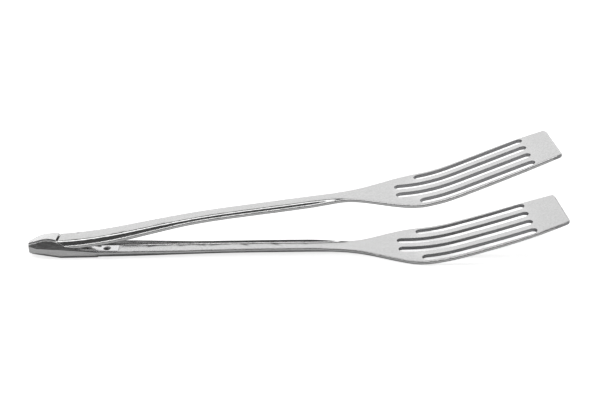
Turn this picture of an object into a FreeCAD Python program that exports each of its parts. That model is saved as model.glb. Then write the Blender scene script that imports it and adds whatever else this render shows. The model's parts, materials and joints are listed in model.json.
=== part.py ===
import FreeCAD, Part
import math
import os

# Spring loaded kitchen tongs: two slotted blades on pressed channel handles, hinged at one end.
# Millimetres. +X runs from the hinge head to the blade tips, +Y is the hinge axis, +Z is up.
# The tongs are drawn about the hinge pin's line, lying on the lower arm, and moved at the end
# so that the origin is the middle of the underside of the whole object's box.
# A "station" is a distance along X from the hinge pin.

V = FreeCAD.Vector

# ---- driving sizes: sheet and handle ----
sheet = 2.0                   # thickness of both arms
edge_round = 0.85             # rounding of both arms' pressed edges
head_edge_round = 0.45        # rounding of the head's edges
fold_round = 0.9              # half the width of the rounded fold below the flange, at the hinge
hinge_width = 15.2            # handle width at the hinge
middle_width = 12.0           # handle width half way along
neck_width = 11.2             # handle width where the blade begins
flange_run = 2.0              # how far a flange leans out from the floor, at the hinge
hinge_rise = 2.3              # how far a flange stands up near the hinge
middle_rise = 1.3             # how far a flange stands up along the handle
flange_gentle_share = 0.55    # share of a flange's run that leans gently, the rest turns down steeper
flange_steepening = 2.7       # how much steeper
flange_fade_start = 0.88      # share of the handle after which the flanges sink away
flange_fade_end = 8.0         # past the neck, where they are gone
handle_length = 157.0         # hinge pin to the neck
handle_bow = 0.6              # how far the handle arches off the table
arch_power = 1.5              # makes the arch's two ends run out flat

# ---- driving sizes: blades ----
blade_length = 122.3          # neck to the lower blade's tip
blade_width = 41.6
tip_width = 35.0
tip_radius = 3.0
tip_bevel = 1.7               # width of the ground edge across the tip
tip_bevel_share = 0.55        # share of the sheet that it takes off
flare_length = 46.0           # neck to the full width
flare_side_bow = 0.2          # how far the blade narrows from its full width towards the slots' ends
slot_end_narrowing = 1.2      # how much narrower each side is at the slots' ends
belly_length = 37.0           # flat stretch after the neck that lies on the table
spoon_radius = 100.0          # curve of the blade after the belly
spoon_angle = 15.5            # slope where that curve ends, degrees
tip_spoon_radius = 760.0      # gentler curve from there to the tip

slot_count = 4
slot_pitch = 10.3
slot_width = 6.0
slot_end_margin = 17.3        # lower tip to the slots' ends
inner_slot_start = 31.0       # neck to the inner slots
outer_slot_start = 43.0       # neck to the outer slots
upper_tip_trim = 3.2          # the upper blade is this much shorter

# ---- driving sizes: how the arms sit on each other when closed, floor top to upper top ----
heel_gap = 9.1
hinge_gap = 7.9
grip_gap = 10.25
neck_gap = 9.5
shoulder_gap = 7.5
slot_end_gap = 3.9
closed_tip_gap = 0.3          # air between the tips when the tongs are closed
opening_angle = 8.0           # the spring holds the arms this far apart

# ---- driving sizes: hinge head ----
pivot_height = 4.7
pin_radius = 1.3
running_clearance = 0.05      # radial, pin to lugs and sleeve
cheek_wall = 1.8
head_length = 21.5            # hinge pin to the nose
nose_corner = 5.5             # length of the nose's corner facets
shoulder_width = 11.8         # head width where the corner facets begin
nose_width = 5.2
nose_lift = 2.1               # how far the underside rises at the nose
fold_height = 5.9             # height of the fold where the cheeks begin to lean in
cheek_lean = 31.0             # degrees
cheek_run = 18.0              # hinge pin to where the cheeks have faded into the flanges
cap_sheet = 1.2
cap_edge = 5.0                # hinge pin back to the cap's edge
cap_height = 10.2             # height of the cap's underside at its crown
nose_drop = 3.5               # how far the cap has sunk from its crown at the nose
facet_drop = 1.7              # and above the nose's corner facets
cap_edge_drop = 0.45          # and at the cap's edge
behind_pin_drop = 2.15        # the cheeks' edges go on sinking: just behind the pin
before_pin_drop = 3.45        # just before the pin
cheek_middle_drop = 4.75      # half way to the cheeks' end
cheek_end_drop = 5.6          # where the cheeks have faded into the flanges
cheek_fade_drop = 6.2         # past their end
relief_overrun = 8.0          # how far the line runs on past the cheeks
heel_clearance = 0.35         # cap's edge to the upper arm's heel
heel_round = 1.6
cheek_clearance = 0.4         # upper arm over the cheeks' edges
lug_sheet = 1.4
lug_outer = 3.3               # middle plane to a lug's outer face
lug_web_slope = 0.6           # how far a lug's upper edge sinks along the arm, inside its sheet
web_half = 3.0                # half width of the upper arm's heel where it dips between the cheeks
lug_floor_clearance = 0.3
side_clearance = 0.1          # sleeve and collars to the faces beside them
sleeve_radius = 2.0

# ---- driving sizes: leaf spring and rivet ----
leaf_sheet = 0.8
leaf_width = 7.0
leaf_tip_width = 3.2
leaf_foot_end = 29.0          # hinge pin to the end of the leaf's foot
leaf_bend_start = 18.0        # hinge pin to where the leaf leaves the floor
leaf_bend_radius = 11.0
leaf_angle = 33.0             # degrees
leaf_touch_clearance = 0.1
leaf_seat_clearance = 0.03    # under the foot, which the rivet holds down
rivet_station = 22.5
rivet_radius = 1.2
rivet_head_radius = 2.2
rivet_head_height = 0.8
rivet_sink_depth = 0.8

# ---- worked out from the driving sizes ----
tip_station = handle_length + blade_length
spoon_start = handle_length + belly_length
arch_end = spoon_start - belly_length / 4
spoon_run = spoon_radius * math.sin(math.radians(spoon_angle))
slot_end = tip_station - slot_end_margin
handle_pitch = 8.8            # distance between the sections along the handle
blade_steps = 22              # closer ones along the blade
neck_lead = 16.0              # before the neck, where the closer ones begin
far = 400.0                   # longer than anything that a cutter has to pass
over_cut = 1.0                # how far a cutter reaches past what it cuts


def curve_through(points):
    """A smooth curve through (station, value) points, as a function of station."""
    curve = Part.BSplineCurve()
    curve.interpolate([V(x, 0, z) for x, z in points])
    first = points[0][0]
    last = points[-1][0]

    def value(station):
        low = curve.FirstParameter
        high = curve.LastParameter
        wanted = min(max(station, first), last)
        for _ in range(40):
            middle = (low + high) / 2
            if curve.value(middle).x < wanted:
                low = middle
            else:
                high = middle
        return curve.value((low + high) / 2).z

    return value


def smooth_step(low, high, station):
    """0 before low, 1 after high, with no corner at either."""
    part = min(max((station - low) / (high - low), 0.0), 1.0)
    return part * part * (3 - 2 * part)


# ---- lines that both arms follow ----
def underside(station):
    """Height of the lower arm's underside: a low arch, a flat belly, then the spoon curve."""
    if station <= spoon_start:
        share = (station - leaf_foot_end) / (arch_end - leaf_foot_end)
        return handle_bow * math.sin(math.pi * min(max(share, 0.0), 1.0)) ** arch_power
    run = station - spoon_start
    if run <= spoon_run:
        return spoon_radius - math.sqrt(spoon_radius ** 2 - run ** 2)
    start_height = spoon_radius * (1 - math.cos(math.radians(spoon_angle)))
    offset = tip_spoon_radius * math.sin(math.radians(spoon_angle))
    base = math.sqrt(tip_spoon_radius ** 2 - offset ** 2)
    return start_height + base - math.sqrt(tip_spoon_radius ** 2 - (offset + run - spoon_run) ** 2)


handle_half = curve_through([
    (-cap_edge, hinge_width / 2),
    (leaf_foot_end, hinge_width / 2),
    (handle_length / 2, middle_width / 2),
    (handle_length * 0.8, (middle_width + neck_width) / 4),
    (handle_length, neck_width / 2),
    (handle_length + flare_length, neck_width / 2),
])

blade_half = curve_through([
    (handle_length, blade_width / 2),
    (handle_length + flare_length, blade_width / 2),
    (handle_length + flare_length * 1.6, blade_width / 2 - flare_side_bow),
    (slot_end, blade_width / 2 - slot_end_narrowing),
    (tip_station, tip_width / 2),
])


def half_width(station):
    """Half the sheet's width: the handle's, growing into the blade's over the flare."""
    flare = smooth_step(handle_length, handle_length + flare_length, station)
    return handle_half(station) + (blade_half(station) - handle_half(station)) * flare


closed_gap = curve_through([
    (-cap_edge, heel_gap),
    (cap_edge, heel_gap + (hinge_gap - heel_gap) * 0.75),
    (leaf_bend_start, hinge_gap),
    (handle_length * 0.27, hinge_gap + (grip_gap - hinge_gap) * 0.415),
    (handle_length * 0.5, grip_gap),
    (handle_length * 0.78, grip_gap + (neck_gap - grip_gap) * 0.43),
    (handle_length, neck_gap),
    (handle_length + flare_length * 0.65, shoulder_gap),
    (slot_end, slot_end_gap),
    (tip_station - upper_tip_trim, sheet + closed_tip_gap),
])


def flange_rise(station):
    """The flanges stand highest at the hinge and fade out at the neck."""
    near_hinge = smooth_step(leaf_foot_end, handle_length / 2, station)
    rise = hinge_rise + (middle_rise - hinge_rise) * near_hinge
    fade_start = handle_length * flange_fade_start
    return rise * (1 - smooth_step(fade_start, handle_length + flange_fade_end, station))


# ---- an arm: one pressed sheet, lofted through sections square to X ----
def arm_section(station, middle_height, flange_way):
    """The sheet's outline at a station. middle_height is its top face on the middle line,
    flange_way is +1 where the flanges stand up and -1 where they hang down."""
    half = half_width(station)
    inner = half - edge_round
    # The folds keep their places in proportion as the handle narrows.
    fold = 1 - flange_run / (hinge_width / 2)
    blend = fold_round / (hinge_width / 2)
    second_fold = fold + (1 - fold) * flange_gentle_share
    second_blend = blend / 2
    steeper = 1 + (flange_steepening - 1) * smooth_step(cheek_run, handle_length * 0.3, station)
    gentle = flange_way * flange_rise(station) / (
        (1 - fold) * (flange_gentle_share + (1 - flange_gentle_share) * steeper))

    def beyond(place, corner, width):
        """How far a place lies beyond a corner that is rounded over width to each side."""
        over = abs(place) - (corner - width)
        if over <= 0:
            return 0.0
        if over < 2 * width:
            return over ** 2 / (4 * width)
        return over - width

    def top_height(place):
        first_part = gentle * beyond(place, fold, blend)
        second_part = gentle * (steeper - 1) * beyond(place, second_fold, second_blend)
        return middle_height + first_part + second_part

    places = [0.0, fold * 0.5, fold - blend, fold - blend / 2, fold, fold + blend / 2,
              second_fold - second_blend, second_fold, second_fold + second_blend, 1.0]
    across = [-place for place in reversed(places[1:])] + places
    shared = [place + 1 for place in across]
    top = Part.BSplineCurve()
    top_points = [V(station, place * inner, top_height(place)) for place in across]
    top.interpolate(Points=top_points, Parameters=shared)
    bottom = Part.BSplineCurve()
    bottom_points = [V(station, -place * inner, top_height(place) - sheet) for place in across]
    bottom.interpolate(Points=bottom_points, Parameters=shared)
    upper = top_height(1.0)
    lower = upper - sheet
    flat_upper = upper - edge_round
    flat_lower = lower + edge_round
    bulge = edge_round * (1 - math.sqrt(0.5))
    edges = [top.toShape()]
    edges.append(Part.Arc(V(station, inner, upper), V(station, half - bulge, upper - bulge),
                          V(station, half, flat_upper)).toShape())
    edges.append(Part.makeLine(V(station, half, flat_upper), V(station, half, flat_lower)))
    edges.append(Part.Arc(V(station, half, flat_lower), V(station, half - bulge, lower + bulge),
                          V(station, inner, lower)).toShape())
    edges.append(bottom.toShape())
    edges.append(Part.Arc(V(station, -inner, lower), V(station, bulge - half, lower + bulge),
                          V(station, -half, flat_lower)).toShape())
    edges.append(Part.makeLine(V(station, -half, flat_lower), V(station, -half, flat_upper)))
    edges.append(Part.Arc(V(station, -half, flat_upper), V(station, bulge - half, upper - bulge),
                          V(station, -inner, upper)).toShape())
    return Part.Wire(edges)


def arm_sheet(first, last, middle_height, flange_way):
    """The whole pressed sheet from one station to another."""
    start = handle_length - neck_lead
    handle_steps = round((start - first) / handle_pitch)
    stations = [first + (start - first) * i / handle_steps for i in range(handle_steps)]
    stations += [start + (last - start) * i / blade_steps for i in range(blade_steps + 1)]
    wires = [arm_section(s, middle_height(s), flange_way) for s in stations]
    return Part.makeLoft(wires, True, False)


def side_prism(outline, half):
    """A solid with the given outline in the XZ plane, reaching half to each side."""
    wire = Part.Wire(outline)
    return Part.Face(wire).extrude(V(0, 2 * half, 0)).translated(V(0, -half, 0))


def polygon_edges(points):
    """Edges of a closed outline through (x, z) points in the XZ plane."""
    corners = [V(x, 0, z) for x, z in points]
    return [Part.makeLine(corners[i - 1], corners[i]) for i in range(len(corners))]


def slot_cutters(first_inner, first_outer, last):
    """Round-ended slots side by side, cut straight down through a blade."""
    cutters = []
    radius = slot_width / 2
    for i in range(slot_count):
        y = (i - (slot_count - 1) / 2) * slot_pitch
        outer = i in (0, slot_count - 1)
        start = first_outer if outer else first_inner
        corner = V(start + radius, y - radius, -far / 2)
        bar = Part.makeBox(last - start - slot_width, slot_width, far, corner)
        for x in (start + radius, last - radius):
            bar = bar.fuse(Part.makeCylinder(radius, far, V(x, y, -far / 2)))
        cutters.append(bar.removeSplitter())
    return cutters


def tip_corner_cutters(last):
    """What rounds the two corners of a blade's tip, seen from above."""
    cutters = []
    inside = half_width(last) - tip_radius
    size = 2 * tip_radius
    for side in (1, -1):
        low = inside if side > 0 else -inside - size
        block = Part.makeBox(size, size, far, V(last - tip_radius, low, -far / 2))
        disc = Part.makeCylinder(tip_radius, far, V(last - tip_radius, side * inside, -far / 2))
        cutters.append(block.cut(disc))
    return cutters


def tip_bevel_cutter(last, top_height):
    """A slanting cut across the top of the tip's edge."""
    low = top_height - sheet * tip_bevel_share * (1 + over_cut / tip_bevel)
    above = top_height + sheet
    points = [(last - tip_bevel, top_height), (last + over_cut, low),
              (last + over_cut, above), (last - tip_bevel, above)]
    return side_prism(polygon_edges(points), blade_width)


# ---- the hinge head ----
head_top = curve_through([
    (-head_length, cap_height - nose_drop),
    (-head_length * 0.8, cap_height - facet_drop),
    (-head_length * 0.4, cap_height),
    (-cap_edge, cap_height - cap_edge_drop),
    (-cap_edge * 0.12, cap_height - behind_pin_drop),
    (cap_edge * 0.72, cap_height - before_pin_drop),
    (cheek_run * 0.56, cap_height - cheek_middle_drop),
    (cheek_run, cap_height - cheek_end_drop),
    (cheek_run + relief_overrun, cap_height - cheek_fade_drop),
])


def facet_plane(point, first, second):
    """A plane through a point along two directions, as (point, outward normal)."""
    normal = first.cross(second)
    normal.normalize()
    return point, normal


def head_facets():
    """The head's outer planes on the +Y side and on the middle line."""
    half = hinge_width / 2
    shoulder = -cap_edge * 0.6
    corner = -head_length + nose_corner
    along = V(corner - shoulder, shoulder_width / 2 - half, 0)
    slant = V(-nose_corner, (nose_width - shoulder_width) / 2, 0)
    lean = V(0, -math.tan(math.radians(cheek_lean)), 1)
    run_down = V(cheek_run - shoulder, 0, sheet + hinge_rise * 0.8 - fold_height)
    side = V(shoulder, half, fold_height)
    front = V(corner, shoulder_width / 2, fold_height)
    under = V(0, -flange_run, -hinge_rise)
    low = V(0, 0, 0)
    lift = V(-head_length - shoulder, 0, nose_lift)
    upright = V(0, 0, 1)
    sides = [
        facet_plane(side, upright, V(1, 0, 0)),
        facet_plane(side, upright, along * -1),
        facet_plane(front, upright, slant * -1),
        facet_plane(side, lean, run_down),
        facet_plane(side, lean, along * -1),
        facet_plane(front, lean, slant * -1),
        facet_plane(V(shoulder, half, hinge_rise), V(1, 0, 0), under),
        facet_plane(V(shoulder, half, hinge_rise), along * -1 - V(0, 0, nose_lift * 0.6), under),
    ]
    middle = [
        facet_plane(V(-head_length, 0, fold_height), upright, V(0, 1, 0)),
        facet_plane(low, V(0, 1, 0), V(1, 0, 0)),
        facet_plane(V(shoulder, 0, 0), V(0, 1, 0), lift * -1),
    ]
    return sides, middle


def head_solid(side_inset, end_inset, floor):
    """The head as a faceted solid: the skin, or with insets the hollow inside it."""
    length = head_length + cheek_run
    corner = V(-head_length, -hinge_width / 2, -over_cut)
    block = Part.makeBox(length, hinge_width, 2 * cap_height + over_cut, corner)
    sides, middle = head_facets()
    planes = []
    for point, normal in sides:
        inset = floor if normal.z < -0.3 else side_inset
        planes.append((point - normal * inset, normal))
        planes.append((V(point.x, -point.y, point.z) - V(normal.x, -normal.y, normal.z) * inset,
                       V(normal.x, -normal.y, normal.z)))
    for point, normal in middle:
        inset = floor if normal.z < -0.3 else end_inset
        planes.append((point - normal * inset, normal))
    for point, normal in planes:
        outside = Part.makeBox(far, far, far, V(-far / 2, -far / 2, 0))
        facing = FreeCAD.Placement(point, FreeCAD.Rotation(V(0, 0, 1), normal))
        outside.Placement = facing.multiply(outside.Placement)
        block = block.cut(outside)
    return block


def under_head_top(first, last, shift):
    """Everything below the head's top line, moved up by shift, between two stations."""
    steps = 24
    line = Part.BSplineCurve()
    stations = [first + (last - first) * i / steps for i in range(steps + 1)]
    line.interpolate([V(s, 0, head_top(s) + shift) for s in stations])
    corners = [V(last, 0, head_top(last) + shift), V(last, 0, -far), V(first, 0, -far),
               V(first, 0, head_top(first) + shift)]
    outline = [line.toShape()] + [Part.makeLine(corners[i], corners[i + 1]) for i in range(3)]
    return side_prism(outline, blade_width)


def rounded_skin(skin):
    """The skin with every edge rounded, except where it meets the handle."""
    at_handle = [e for e in skin.Edges if all(abs(v.X - cheek_run) < 0.001 for v in e.Vertexes)]
    edges = [e for e in skin.Edges if not any(e.isSame(other) for other in at_handle)]
    return skin.makeFillet(head_edge_round, edges)


head_skin = rounded_skin(head_solid(0.0, 0.0, 0.0))
head_hollow = head_solid(cheek_wall, cheek_wall, sheet)
pivot = V(0, 0, pivot_height)


def across(radius, low, high):
    """A round bar along the hinge axis between two values of Y."""
    return Part.makeCylinder(radius, high - low, V(0, low, pivot_height), V(0, 1, 0))


pin_bar = across(pin_radius, -hinge_width, hinge_width)


def make_hinge_pin():
    """Plain pin, pressed into both cheeks and ground flush with them."""
    return pin_bar.common(head_skin)


def rivet_shank(low, high):
    """The rivet's round shank between two heights."""
    return Part.makeCylinder(rivet_radius, high - low, V(rivet_station, 0, low))


def rivet_sink():
    """The rivet's countersunk lower head, which is also the sink in the arm."""
    sunk = Part.makeCone(rivet_radius + rivet_sink_depth, rivet_radius, rivet_sink_depth)
    return sunk.translated(V(rivet_station, 0, underside(rivet_station)))


def rivet_hole():
    """The hole for the rivet, sunk from below, as one cutter that reaches past both faces."""
    wide = rivet_radius + rivet_sink_depth
    under = underside(rivet_station)
    above = under + sheet + over_cut
    profile = [(0, under - over_cut), (wide, under - over_cut), (wide, under),
               (rivet_radius, under + rivet_sink_depth), (rivet_radius, above), (0, above)]
    half_face = Part.Face(Part.Wire(polygon_edges(profile)))
    turned = half_face.revolve(V(0, 0, 0), V(0, 0, 1), 360)
    return turned.translated(V(rivet_station, 0, 0))


def blade_cutters(last, last_slot, top_height):
    """Everything cut out of a blade: slots, tip corners and the ground edge."""
    inner_start = handle_length + inner_slot_start
    outer_start = handle_length + outer_slot_start
    cutters = slot_cutters(inner_start, outer_start, last_slot)
    return cutters + tip_corner_cutters(last) + [tip_bevel_cutter(last, top_height)]


def make_lower_arm():
    """Blade, channel handle and hinge cheeks, pressed from one sheet."""
    arm = arm_sheet(cheek_run, tip_station, lambda s: underside(s) + sheet, 1)
    head = head_skin.common(under_head_top(-head_length - over_cut, cheek_run, 0.0)).cut(head_hollow)
    cutters = blade_cutters(tip_station, slot_end, underside(tip_station) + sheet)
    arm = arm.cut(cutters).cut(rivet_hole())
    return arm.fuse(head).cut(pin_bar).removeSplitter()


def make_head_cap():
    """Cover plate that closes the top of the head, flush with the cheeks."""
    band = under_head_top(-head_length - over_cut, -cap_edge, cap_sheet)
    cap = head_skin.common(band.cut(under_head_top(-head_length - 2 * over_cut, cheek_run, 0.0)))
    crown = [e for e in cap.Edges if min(v.Z - head_top(v.X) for v in e.Vertexes) > cap_sheet * 0.9]
    return cap.makeFillet(head_edge_round, crown)


def upper_top(station):
    """Height of the upper arm's outer face on the middle line, when the tongs are closed."""
    return underside(station) + sheet + closed_gap(station)


def opened(shape, angle):
    """Turned about the hinge pin from closed towards open."""
    turned = shape.copy()
    turned.rotate(pivot, V(0, 1, 0), -angle)
    return turned


def lug(side):
    """One hinge lug hanging inside the head from the upper arm."""
    radius = pivot_height - sheet - lug_floor_clearance
    top = upper_top(0.0) - sheet / 2
    front = -cap_edge * 0.3
    back = cap_edge * 1.5
    eye = Part.makeCylinder(radius, lug_sheet, V(0, 0, pivot_height), V(0, 1, 0))
    sunk = top - lug_web_slope
    web = polygon_edges([(-radius, pivot_height), (radius, pivot_height), (back, sunk), (front, top)])
    plate = Part.Face(Part.Wire(web)).extrude(V(0, lug_sheet, 0))
    low = lug_outer - lug_sheet if side > 0 else -lug_outer
    return eye.fuse(plate).translated(V(0, low, 0))


def heel_cutter():
    """Leaves the heel square to X just clear of the cap's edge, with a rounded upper corner.
    Drawn with the tongs open."""
    turn = math.radians(opening_angle)
    over_pin = upper_top(-cap_edge) - pivot_height
    crown = over_pin * math.cos(turn) - cap_edge * math.sin(turn) + pivot_height
    heel = heel_clearance - cap_edge
    behind = heel - 3 * heel_round
    top = cap_height + 3 * cap_edge
    bulge = heel_round * (1 - math.sqrt(0.5))
    start = V(heel, 0, -cap_edge)
    low = V(heel, 0, crown - heel_round)
    high = V(heel + heel_round, 0, crown)
    edges = [Part.makeLine(start, low)]
    edges.append(Part.Arc(low, V(heel + bulge, 0, crown - bulge), high).toShape())
    loop = [high, V(high.x, 0, top), V(behind, 0, top), V(behind, 0, -cap_edge), start]
    edges += [Part.makeLine(loop[i], loop[i + 1]) for i in range(len(loop) - 1)]
    return side_prism(edges, blade_width)


def cheek_relief():
    """What the upper arm's flanges must leave free for the cheeks, over the whole movement."""
    below = under_head_top(-2 * cap_edge, cheek_run + relief_overrun, cheek_clearance)
    beside = below.cut(Part.makeBox(far, 2 * web_half, far, V(-far / 2, -web_half, -far / 2)))
    steps = 3
    swept = [opened(beside, -opening_angle * i / (steps - 1)) for i in range(steps)]
    return swept[0].fuse(swept[1:])


def make_upper_arm():
    """The matching arm, flanges down, with two lugs that take the hinge pin."""
    last = tip_station - upper_tip_trim
    arm = arm_sheet(-cap_edge - heel_round, last, upper_top, -1)
    cutters = blade_cutters(last, slot_end, upper_top(last))
    cutters += [opened(heel_cutter(), -opening_angle), cheek_relief()]
    arm = arm.cut(cutters).fuse([lug(1), lug(-1)])
    arm = arm.cut(across(pin_radius + running_clearance, -hinge_width, hinge_width))
    return opened(arm.removeSplitter(), opening_angle)


def make_hinge_sleeve():
    """Sleeve on the pin that keeps the lugs apart."""
    half = lug_outer - lug_sheet - side_clearance / 2
    return across(sleeve_radius, -half, half).cut(across(pin_radius + running_clearance, -half, half))


def cheek_inside():
    """How far out the hollow between the cheeks reaches at the top and the foot of a collar."""
    lean = math.radians(cheek_lean)
    fold = fold_height - (fold_height - sheet - hinge_rise * 0.8) * (sleeve_radius + cap_edge * 0.6) / (
        cheek_run + cap_edge * 0.6)
    over_fold = max(pivot_height + sleeve_radius - fold, 0.0)
    at_top = hinge_width / 2 - over_fold * math.tan(lean) - cheek_wall / math.cos(lean)
    under_rise = hinge_rise - (pivot_height - sleeve_radius)
    slant = math.hypot(flange_run, hinge_rise) / hinge_rise
    at_foot = hinge_width / 2 - under_rise * flange_run / hinge_rise - sheet * slant
    return min(at_top, at_foot, hinge_width / 2 - cheek_wall)


def make_hinge_collars():
    """Two spacing collars on the pin, between the lugs and the cheeks."""
    low = lug_outer + side_clearance / 2
    high = cheek_inside() - side_clearance / 2
    bore = across(pin_radius, -hinge_width, hinge_width)
    rings = [across(sleeve_radius, low, high).cut(bore), across(sleeve_radius, -high, -low).cut(bore)]
    return Part.makeCompound(rings)


def make_leaf_spring():
    """Flat spring: its foot is riveted to the lower arm, its free end pushes the upper arm up."""
    floor = underside(rivet_station) + sheet + leaf_seat_clearance
    turn = math.radians(leaf_angle)
    over = leaf_bend_radius - leaf_sheet
    centre = V(leaf_bend_start, 0, floor + leaf_bend_radius)
    inner_end = centre + V(-math.sin(turn), 0, -math.cos(turn)) * over
    outer_end = centre + V(-math.sin(turn), 0, -math.cos(turn)) * leaf_bend_radius
    inner_mid = centre + V(-math.sin(turn / 2), 0, -math.cos(turn / 2)) * over
    outer_mid = centre + V(-math.sin(turn / 2), 0, -math.cos(turn / 2)) * leaf_bend_radius
    # The free end is as long as it takes to reach the underside of the upper arm.
    tip_at = inner_end.x
    for _ in range(6):
        reach = leaf_touch_height(tip_at) - inner_end.z
        tip_at = inner_end.x - reach / math.tan(turn)
    free = reach / math.sin(turn)
    ahead = V(-math.cos(turn), 0, math.sin(turn))
    tip_top = inner_end + ahead * free
    tip_low = outer_end + ahead * free
    foot_top = V(leaf_foot_end, 0, floor + leaf_sheet)
    foot_low = V(leaf_foot_end, 0, floor)
    outline = [
        Part.makeLine(foot_low, foot_top),
        Part.makeLine(foot_top, V(leaf_bend_start, 0, floor + leaf_sheet)),
        Part.Arc(V(leaf_bend_start, 0, floor + leaf_sheet), inner_mid, inner_end).toShape(),
        Part.makeLine(inner_end, tip_top),
        Part.makeLine(tip_top, tip_low),
        Part.makeLine(tip_low, outer_end),
        Part.Arc(outer_end, outer_mid, V(leaf_bend_start, 0, floor)).toShape(),
        Part.makeLine(V(leaf_bend_start, 0, floor), foot_low),
    ]
    strip = side_prism(outline, leaf_width / 2)
    half = leaf_width / 2
    tip_half = leaf_tip_width / 2
    plan = [V(leaf_foot_end, half, 0), V(leaf_bend_start, half, 0), V(cap_edge * 2.2, tip_half, 0),
            V(-cap_edge, tip_half, 0)]
    plan += [V(p.x, -p.y, 0) for p in reversed(plan)]
    taper = Part.Face(Part.makePolygon(plan + plan[:1])).extrude(V(0, 0, far))
    return strip.common(taper).cut(rivet_shank(0.0, 3 * sheet))


def leaf_touch_height(station):
    """Height at which the leaf's tip meets the upper arm's inner face with the tongs open."""
    turn = math.radians(opening_angle)
    inner = upper_top(station) - sheet - pivot_height
    return inner * math.cos(turn) + station * math.sin(turn) + pivot_height - leaf_touch_clearance


def make_spring_rivet():
    """Round-headed rivet, sunk flush under the arm."""
    floor = underside(rivet_station) + sheet + leaf_seat_clearance + leaf_sheet
    low = underside(rivet_station)
    ball = (rivet_head_radius ** 2 + rivet_head_height ** 2) / (2 * rivet_head_height)
    dome = Part.makeSphere(ball, V(rivet_station, 0, floor + rivet_head_height - ball))
    slab = Part.makeCylinder(ball, rivet_head_height, V(rivet_station, 0, floor))
    body = dome.common(slab).fuse(rivet_shank(low, floor))
    return body.fuse(rivet_sink()).removeSplitter()


nodes = {
    "lower_arm": make_lower_arm(),
    "head_cap": make_head_cap(),
    "hinge_pin": make_hinge_pin(),
    "hinge_collars": make_hinge_collars(),
    "hinge_sleeve": make_hinge_sleeve(),
    "leaf_spring": make_leaf_spring(),
    "spring_rivet": make_spring_rivet(),
    "upper_arm": make_upper_arm(),
}

origin = V((tip_station - head_length) / 2, 0, 0)

os.makedirs("parts", exist_ok=True)
for name, shape in nodes.items():
    placed = shape.translated(origin * -1)
    placed.exportStep(os.path.join("parts", name + ".step"))
    print(name, "solids", len(placed.Solids), placed.isValid(), "volume", round(placed.Volume, 1))
print("hinge pin line at x", round(-origin.x, 3), "z", round(pivot_height - origin.z, 3))
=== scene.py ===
import json
import math
import bpy
from mathutils import Matrix, Vector


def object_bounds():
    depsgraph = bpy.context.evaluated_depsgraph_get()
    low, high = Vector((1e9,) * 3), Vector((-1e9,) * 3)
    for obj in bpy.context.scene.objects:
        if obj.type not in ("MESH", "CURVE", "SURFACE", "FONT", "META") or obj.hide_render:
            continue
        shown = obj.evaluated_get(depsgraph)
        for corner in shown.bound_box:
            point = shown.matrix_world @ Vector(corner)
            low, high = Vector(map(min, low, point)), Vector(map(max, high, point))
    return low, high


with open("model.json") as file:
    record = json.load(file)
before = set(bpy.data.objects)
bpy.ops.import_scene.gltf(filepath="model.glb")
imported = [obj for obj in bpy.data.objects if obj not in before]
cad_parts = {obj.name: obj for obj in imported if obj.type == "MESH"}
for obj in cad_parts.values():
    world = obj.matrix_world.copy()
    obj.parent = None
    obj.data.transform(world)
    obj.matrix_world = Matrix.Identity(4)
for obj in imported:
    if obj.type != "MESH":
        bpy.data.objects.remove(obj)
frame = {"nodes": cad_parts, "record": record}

cad_low, cad_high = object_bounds()
nodes = frame["nodes"]


# ---- Lower arm ----
# Blade, channel handle and hinge cheeks in one pressing of 2 mm stainless sheet. After pressing,
# the edges are tumbled round and the whole arm is polished along its length to a satin finish.
scratch_relief_share = 0.6
scratch_stretch = 26.0
scratch_scale = 2600.0          # per metre
speckle_scale = 1400.0
cloud_scale = 90.0
speckle_colour_share = 0.8
cloud_gain = (0.92, 1.08)       # what the clouds do to the roughness
wear_and_glint_range = (0.56, 0.70)       # pointiness where the wear and painted highlight begin and where they are full
wear_and_glint_patch_scale = 160.0
ease_samples = 8

# The slot walls' colour: partly the duller sheared steel, partly a painted shade for the dark reflections
# the walls show.
slot_wall_painted_shade = (0.44, 0.44, 0.45, 1.0)
sheared_roughness = 0.2
wall_tilt = (0.3, 0.5)          # rise of the normal up to which a face is all wall, and not at all
inner_slots_at = 0.057          # metres along X, just before the slots begin
outer_slots_at = 0.067
outer_slots_fade = 0.001
inner_slots_half = 0.0135       # half widths that take in the slots but not the blade's own edges
outer_slots_half = 0.0187

pin_place = frame["record"]["behaviour"]["joints"][0]["pos_m"]
pin_surround = (0.0016, 0.0030)  # distance from the pin's line where edges begin to show, and fully do


def new_group(name, sockets_in, sockets_out):
    """A shader node group with those inputs, as (name, default), and those outputs."""
    group = bpy.data.node_groups.new(name, "ShaderNodeTree")
    for socket, default in sockets_in:
        made = group.interface.new_socket(name=socket, in_out="INPUT", socket_type="NodeSocketFloat")
        made.default_value = default
    for socket in sockets_out:
        group.interface.new_socket(name=socket, in_out="OUTPUT", socket_type="NodeSocketFloat")
    return group, group.nodes.new("NodeGroupInput"), group.nodes.new("NodeGroupOutput")


def add_math(tree, operation, first, second):
    """A Math node fed by two sockets or plain numbers; returns its output."""
    node = tree.nodes.new("ShaderNodeMath")
    node.operation = operation
    for socket, value in zip(node.inputs, (first, second)):
        if isinstance(value, (int, float)):
            socket.default_value = value
        else:
            tree.links.new(value, socket)
    return node.outputs["Value"]


def add_noise(tree, place, scale, detail, stretch):
    """Noise over the piece's own coordinates, drawn out along X by stretch."""
    mapping = tree.nodes.new("ShaderNodeMapping")
    mapping.inputs["Scale"].default_value = (1.0 / stretch, 1.0, 1.0)
    tree.links.new(place, mapping.inputs["Vector"])
    noise = tree.nodes.new("ShaderNodeTexNoise")
    noise.inputs["Detail"].default_value = detail
    if isinstance(scale, (int, float)):
        noise.inputs["Scale"].default_value = scale
    else:
        tree.links.new(scale, noise.inputs["Scale"])
    tree.links.new(mapping.outputs["Vector"], noise.inputs["Vector"])
    return noise.outputs["Fac"]


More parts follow.
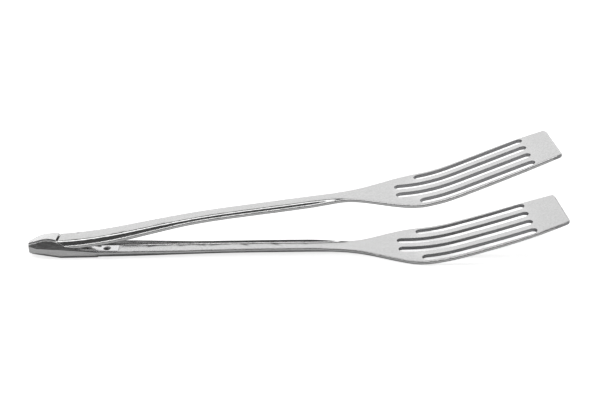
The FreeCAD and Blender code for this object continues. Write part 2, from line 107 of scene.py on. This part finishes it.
def add_range(tree, value, low, high, new_low=0.0, new_high=1.0):
    """A clamped Map Range; returns its output."""
    node = tree.nodes.new("ShaderNodeMapRange")
    node.inputs["From Min"].default_value = low
    node.inputs["From Max"].default_value = high
    node.inputs["To Min"].default_value = new_low
    node.inputs["To Max"].default_value = new_high
    tree.links.new(value, node.inputs["Value"])
    return node.outputs["Result"]


# Polishing: long fine scratches, a fine speckle left by tumbling, and faint cloudy patches.
polish, polish_in, polish_out = new_group(
    "polish",
    [("Scratch scale", scratch_scale), ("Speckle scale", speckle_scale), ("Cloud scale", cloud_scale)],
    ["Scratches", "Speckle", "Clouds"])
polish_place = polish.nodes.new("ShaderNodeTexCoord").outputs["Object"]
# Each row: the field, its output, its stretch along X, its detail and the range of it that shows.
for label, output, stretch, detail, low, high in (
        ("Scratch", "Scratches", scratch_stretch, 3.0, 0.32, 0.68),
        ("Speckle", "Speckle", 1.5, 2.0, 0.30, 0.70),
        ("Cloud", "Clouds", 2.5, 2.0, 0.36, 0.66)):
    field = add_noise(polish, polish_place, polish_in.outputs[label + " scale"], detail, stretch)
    polish.links.new(add_range(polish, field, low, high), polish_out.inputs[output])

# Edge wear and painted highlight: where the sheet turns sharply it is painted brighter, in patches, partly
# as rubbed wear, partly as a painted highlight for the light the sharp edges catch.
edge_wear_and_glint, wear_and_glint_in, wear_and_glint_out = new_group(
    "edge_wear_and_glint", [("Low", wear_and_glint_range[0]), ("High", wear_and_glint_range[1])], ["Wear"])
wear_and_glint_shape = edge_wear_and_glint.nodes.new("ShaderNodeNewGeometry")
rubbed_and_glinting_edges = edge_wear_and_glint.nodes.new("ShaderNodeMapRange")
edge_wear_and_glint.links.new(wear_and_glint_shape.outputs["Pointiness"], rubbed_and_glinting_edges.inputs["Value"])
edge_wear_and_glint.links.new(wear_and_glint_in.outputs["Low"], rubbed_and_glinting_edges.inputs["From Min"])
edge_wear_and_glint.links.new(wear_and_glint_in.outputs["High"], rubbed_and_glinting_edges.inputs["From Max"])
wear_and_glint_place = edge_wear_and_glint.nodes.new("ShaderNodeTexCoord").outputs["Object"]
wear_and_glint_noise = add_noise(edge_wear_and_glint, wear_and_glint_place, wear_and_glint_patch_scale, detail=2.0, stretch=2.0)
wear_and_glint_patches = add_range(edge_wear_and_glint, wear_and_glint_noise, low=0.35, high=0.60, new_low=0.35)
edge_wear_and_glint.links.new(add_math(edge_wear_and_glint, "MULTIPLY", rubbed_and_glinting_edges.outputs["Result"], wear_and_glint_patches),
                    wear_and_glint_out.inputs["Wear"])

# Sheared walls: the slots are blanked through the blades, and their walls are not polished. Their dark
# grey is partly the duller sheared steel, partly a painted shade for the dark reflections that the slot
# walls show.
sheared_and_shaded, _, sheared_and_shaded_out = new_group("sheared_and_shaded_walls", [], ["Wall"])
wall_shape = sheared_and_shaded.nodes.new("ShaderNodeNewGeometry")
wall_normal = sheared_and_shaded.nodes.new("ShaderNodeSeparateXYZ")
sheared_and_shaded.links.new(wall_shape.outputs["True Normal"], wall_normal.inputs["Vector"])
wall_place = sheared_and_shaded.nodes.new("ShaderNodeSeparateXYZ")
sheared_and_shaded.links.new(sheared_and_shaded.nodes.new("ShaderNodeTexCoord").outputs["Object"], wall_place.inputs["Vector"])
slope = add_math(sheared_and_shaded, "ABSOLUTE", wall_normal.outputs["Z"], 0.0)
upright = add_range(sheared_and_shaded, slope, wall_tilt[0], wall_tilt[1], new_low=1.0, new_high=0.0)
slotted = add_math(sheared_and_shaded, "GREATER_THAN", wall_place.outputs["X"], inner_slots_at)
slots_half = add_range(sheared_and_shaded, wall_place.outputs["X"], outer_slots_at, outer_slots_at + outer_slots_fade,
                       inner_slots_half, outer_slots_half)
sideways = add_math(sheared_and_shaded, "ABSOLUTE", wall_place.outputs["Y"], 0.0)
inside = add_math(sheared_and_shaded, "MULTIPLY", slotted, add_math(sheared_and_shaded, "LESS_THAN", sideways, slots_half))
sheared_and_shaded.links.new(add_math(sheared_and_shaded, "MULTIPLY", upright, inside), sheared_and_shaded_out.inputs["Wall"])

# Around the hinge pin the cheek is ground flat with the pin, so no edge shows there.
ground, _, ground_out = new_group("ground_flush", [], ["Away"])
ground_place = ground.nodes.new("ShaderNodeSeparateXYZ")
ground.links.new(ground.nodes.new("ShaderNodeTexCoord").outputs["Object"], ground_place.inputs["Vector"])
squares = [add_math(ground, "POWER", add_math(ground, "SUBTRACT", ground_place.outputs[axis], middle), 2.0)
           for axis, middle in (("X", pin_place[0]), ("Z", pin_place[2]))]
pin_distance = add_math(ground, "POWER", add_math(ground, "ADD", squares[0], squares[1]), 0.5)
away = add_range(ground, pin_distance, pin_surround[0], pin_surround[1])
ground.links.new(away, ground_out.inputs["Away"])


def add_mix(tree, factor, first, second):
    """Colour mix of two colours or sockets by a factor; returns the colour."""
    node = tree.nodes.new("ShaderNodeMix")
    node.data_type = "RGBA"
    tree.links.new(factor, node.inputs["Factor"])
    for name, value in (("A", first), ("B", second)):
        socket = [s for s in node.inputs if s.name == name and s.type == "RGBA"][0]
        if isinstance(value, tuple):
            socket.default_value = value
        else:
            tree.links.new(value, socket)
    return [s for s in node.outputs if s.type == "RGBA"][0]


def steel(name, light, shade, edge, roughness, grain_depth, grain_step, edge_ease):
    """Polished stainless steel: cloudy colour, edges painted brighter (partly wear, partly a painted
    highlight), slot walls painted dark grey (partly sheared steel, partly painted shade), scratches in
    roughness and relief.
    Sharp edges catch the light as if they were rounded by edge_ease. Lengths are in metres."""
    material = bpy.data.materials.new(name)
    material.use_nodes = True
    tree = material.node_tree
    shader = tree.nodes["Principled BSDF"]
    shader.inputs["Metallic"].default_value = 1.0
    finish, worn_and_glinting, flush, blanked_and_shaded = [tree.nodes.new("ShaderNodeGroup") for _ in range(4)]
    finish.node_tree = polish
    worn_and_glinting.node_tree = edge_wear_and_glint
    flush.node_tree = ground
    blanked_and_shaded.node_tree = sheared_and_shaded
    scratches, speckle, clouds = [finish.outputs[name] for name in ("Scratches", "Speckle", "Clouds")]
    wall = blanked_and_shaded.outputs["Wall"]

    cloudy = add_math(tree, "ADD", add_math(tree, "MULTIPLY", speckle, speckle_colour_share),
                      add_math(tree, "MULTIPLY", clouds, 1 - speckle_colour_share))
    body = add_mix(tree, cloudy, shade, light)
    # Sharp edges painted brighter, in patches: partly wear, partly painted highlight.
    rubbed_and_glinting = add_math(tree, "MULTIPLY", worn_and_glinting.outputs["Wear"], flush.outputs["Away"])
    skin = add_mix(tree, rubbed_and_glinting, body, edge)
    # Slot walls take the dark grey: partly sheared steel, partly painted shade.
    tree.links.new(add_mix(tree, wall, skin, slot_wall_painted_shade), shader.inputs["Base Color"])

    rough = add_range(tree, scratches, 0.0, 1.0, roughness[0], roughness[1])
    gain = add_range(tree, clouds, 0.0, 1.0, cloud_gain[0], cloud_gain[1])
    wall_rough = add_math(tree, "MULTIPLY", wall, sheared_roughness)
    tree.links.new(add_math(tree, "ADD", add_math(tree, "MULTIPLY", rough, gain), wall_rough),
                   shader.inputs["Roughness"])

    relief = add_math(tree, "ADD", add_math(tree, "MULTIPLY", scratches, scratch_relief_share),
                      add_math(tree, "MULTIPLY", speckle, 1 - scratch_relief_share))
    bump = tree.nodes.new("ShaderNodeBump")
    bump.inputs["Strength"].default_value = grain_depth
    bump.inputs["Distance"].default_value = grain_step
    tree.links.new(relief, bump.inputs["Height"])
    ease = tree.nodes.new("ShaderNodeBevel")
    ease.samples = ease_samples
    tree.links.new(add_math(tree, "MULTIPLY", flush.outputs["Away"], edge_ease), ease.inputs["Radius"])
    tree.links.new(ease.outputs["Normal"], bump.inputs["Normal"])
    tree.links.new(bump.outputs["Normal"], shader.inputs["Normal"])
    return material


def grey(level, blue=0.0):
    """A grey colour, with a little more blue if wanted."""
    return (level, level, level + blue, 1.0)


# In each finish, edge is the brighter colour painted on sharp edges: partly wear, partly a painted
# highlight.
arm_finish = steel("arm_satin_steel", light=grey(0.74), shade=grey(0.64), edge=grey(0.86),
                   roughness=(0.12, 0.22), grain_depth=0.22, grain_step=0.00006, edge_ease=0.00035)


def paint(node_name, material):
    """Gives a CAD piece its finish."""
    slots = nodes[node_name].data.materials
    slots.clear()
    slots.append(material)


paint("lower_arm", arm_finish)


# ---- Leaf spring ----
# A bent strip of 0.8 mm spring steel, rolled bright. Its foot lies on the lower arm's floor and
# its free end pushes the upper arm up.
leaf_finish = steel("leaf_rolled_steel", light=grey(0.86), shade=grey(0.76, 0.01), edge=grey(0.92),
                    roughness=(0.10, 0.20), grain_depth=0.15, grain_step=0.00004, edge_ease=0.0002)
paint("leaf_spring", leaf_finish)


# ---- Spring rivet ----
# The round-headed rivet that holds the leaf's foot, cold headed, a little darker and duller
# than the strip that it holds.
rivet_finish = steel("rivet_dull_steel", light=grey(0.42, 0.01), shade=grey(0.30, 0.01), edge=grey(0.60),
                     roughness=(0.28, 0.46), grain_depth=0.35, grain_step=0.00006, edge_ease=0.0002)
paint("spring_rivet", rivet_finish)


# ---- Upper arm ----
# The matching pressing, flanges down, with the two hinge lugs that hang inside the head. It has
# the lower arm's sheet and finish, and turns on the hinge pin.
paint("upper_arm", arm_finish)


# ---- Hinge sleeve ----
# A short tube of turned steel that turns loosely on the hinge pin. It keeps the upper arm's two
# lugs apart.
pin_finish = steel("pin_turned_steel", light=grey(0.62, 0.01), shade=grey(0.50, 0.01), edge=grey(0.76),
                   roughness=(0.22, 0.38), grain_depth=0.3, grain_step=0.00005, edge_ease=0.0003)
paint("hinge_sleeve", pin_finish)


# ---- Hinge collars ----
# Two turned steel rings, pushed onto the hinge pin. One on each side fills the room between a
# lug and the cheek beside it.
paint("hinge_collars", pin_finish)


# ---- Hinge pin ----
# A plain steel pin, pressed through both cheeks. Its ends are ground flush and polished together
# with the cheeks, so they have the arms' finish.
paint("hinge_pin", arm_finish)


# ---- Head cap ----
# A small cover of 1.2 mm sheet that closes the top of the hinge head between the cheeks. It is
# spot welded from inside and ground flush, and it's brighter than the arms.
cap_finish = steel("cap_bright_steel", light=grey(0.90), shade=grey(0.80), edge=grey(0.95),
                   roughness=(0.14, 0.26), grain_depth=0.2, grain_step=0.00006, edge_ease=0.0004)
paint("head_cap", cap_finish)


# ---- Camera ----
# It stands over the near side of the tongs and looks along the hinge axis and down. It is rolled
# by about a degree, so that the handles rise a little to the right.
camera_place = Vector((0.00774, -0.44702, 0.23962))
camera_aim = Vector((0.00402, 0.0, 0.0312))
camera_roll = math.radians(-1.125)
camera_data = bpy.data.cameras.new("camera")
camera = bpy.data.objects.new("camera", camera_data)
bpy.context.scene.collection.objects.link(camera)
bpy.context.scene.camera = camera
camera_data.sensor_width = 36.0
camera_data.lens = 53.27
camera_data.clip_start = 0.01
turn = (camera_aim - camera_place).to_track_quat("-Z", "Y").to_matrix().to_4x4()
camera.matrix_world = Matrix.Translation(camera_place) @ turn @ Matrix.Rotation(camera_roll, 4, "Z")


# ---- Floor and light ----
# A plain white floor under a big soft light, with a darker room behind the camera that the
# polished edges pick up.
floor_size = 40.0
floor_roughness = 0.9
floor_glow = 0.75               # only as the camera sees it, so it doesn't light the steel from below
bpy.ops.object.select_all(action="DESELECT")
bpy.ops.mesh.primitive_plane_add(size=floor_size, location=(0.0, 0.0, cad_low.z))
floor = bpy.context.object
floor.name = "floor"
bpy.ops.object.transform_apply(location=True, rotation=True, scale=True)
floor_paint = bpy.data.materials.new("floor_white")
floor_paint.use_nodes = True
floor_shader = floor_paint.node_tree.nodes["Principled BSDF"]
floor_shader.inputs["Base Color"].default_value = grey(0.70)
floor_shader.inputs["Roughness"].default_value = floor_roughness
floor_shader.inputs["Emission Color"].default_value = grey(1.0)
floor_seen = floor_paint.node_tree.nodes.new("ShaderNodeLightPath").outputs["Is Camera Ray"]
floor_paint.node_tree.links.new(add_math(floor_paint.node_tree, "MULTIPLY", floor_seen, floor_glow),
                                floor_shader.inputs["Emission Strength"])
floor.data.materials.append(floor_paint)

# The room as the polished edges see it, from the far side over the top to the camera's side: a
# lit backdrop, a dark ceiling, a long soft box overhead, the dark half of the studio and a
# dimly lit wall. Each pair is an angle in degrees and a brightness.
room_bands = [(-8, 0.80), (0, 1.0), (36, 0.95), (42, 0.10), (64, 0.10), (72, 1.9), (96, 1.9), (103, 0.07),
              (148, 0.07), (156, 0.5), (180, 0.6)]
brightest = max(level for _, level in room_bands)
first_band = -10.0
last_band = 190.0
world = bpy.data.worlds.new("room")
world.use_nodes = True
room = world.node_tree
background = room.nodes["Background"]
split = room.nodes.new("ShaderNodeSeparateXYZ")
room.links.new(room.nodes.new("ShaderNodeTexCoord").outputs["Generated"], split.inputs["Vector"])
angle = add_math(room, "ARCTAN2", split.outputs["Z"], split.outputs["Y"])
share = add_range(room, angle, math.radians(first_band), math.radians(last_band))
bands = room.nodes.new("ShaderNodeValToRGB")
bands.color_ramp.interpolation = "EASE"
while len(bands.color_ramp.elements) < len(room_bands):
    bands.color_ramp.elements.new(0.5)
for stop, (degrees, level) in zip(bands.color_ramp.elements, room_bands):
    stop.position = (degrees - first_band) / (last_band - first_band)
    stop.color = grey(level / brightest)
room.links.new(share, bands.inputs["Fac"])
room.links.new(bands.outputs["Color"], background.inputs["Color"])
background.inputs["Strength"].default_value = brightest
bpy.context.scene.world = world
bpy.context.scene.view_settings.view_transform = "Standard"
